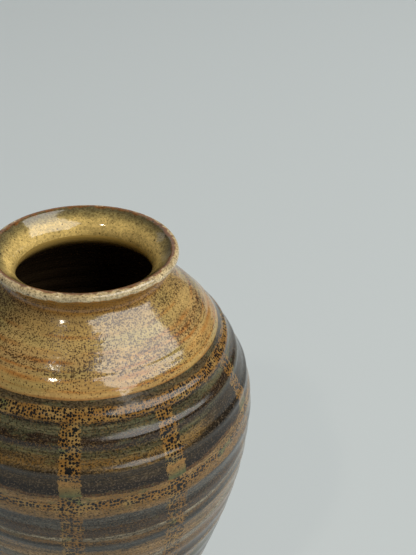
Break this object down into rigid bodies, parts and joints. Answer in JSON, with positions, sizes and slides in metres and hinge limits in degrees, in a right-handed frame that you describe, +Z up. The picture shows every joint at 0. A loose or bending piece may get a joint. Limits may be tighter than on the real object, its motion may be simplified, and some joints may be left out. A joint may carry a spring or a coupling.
{
  "type": "stoneware vase",
  "caption": "Hand-thrown stoneware vase with a wide banded belly, ochre shoulder, undercut neck and flared rolled lip; holds flowers or branches.",
  "frame": {"origin": "on the surface it stands on, under the centre of the foot", "axes": "+Z up along the vase's axis; +X and +Y level, with no marked front on a turned pot"},
  "size_m": [0.1936, 0.1936, 0.28],
  "materials": {
    "bare_stoneware": "unglazed, toasted, matte",
    "liner_glaze": "dark brown glaze, glossy",
    "mouth_glaze": "yellow-olive mottled glaze, glossy",
    "ochre_glaze": "ochre glaze with iron specks, glossy",
    "banded_glaze": "brown, grey and olive bands with iron spots, glossy"
  },
  "bodies": {
    "root": {"foot_ring": "bare_stoneware", "thrown_body": "bare_stoneware", "shoulder_section": "bare_stoneware", "neck_collar": "bare_stoneware", "liner_glaze": "liner_glaze", "mouth_glaze": "mouth_glaze", "shoulder_glaze": "ochre_glaze", "body_glaze": "banded_glaze"}
  },
  "joints": []
}
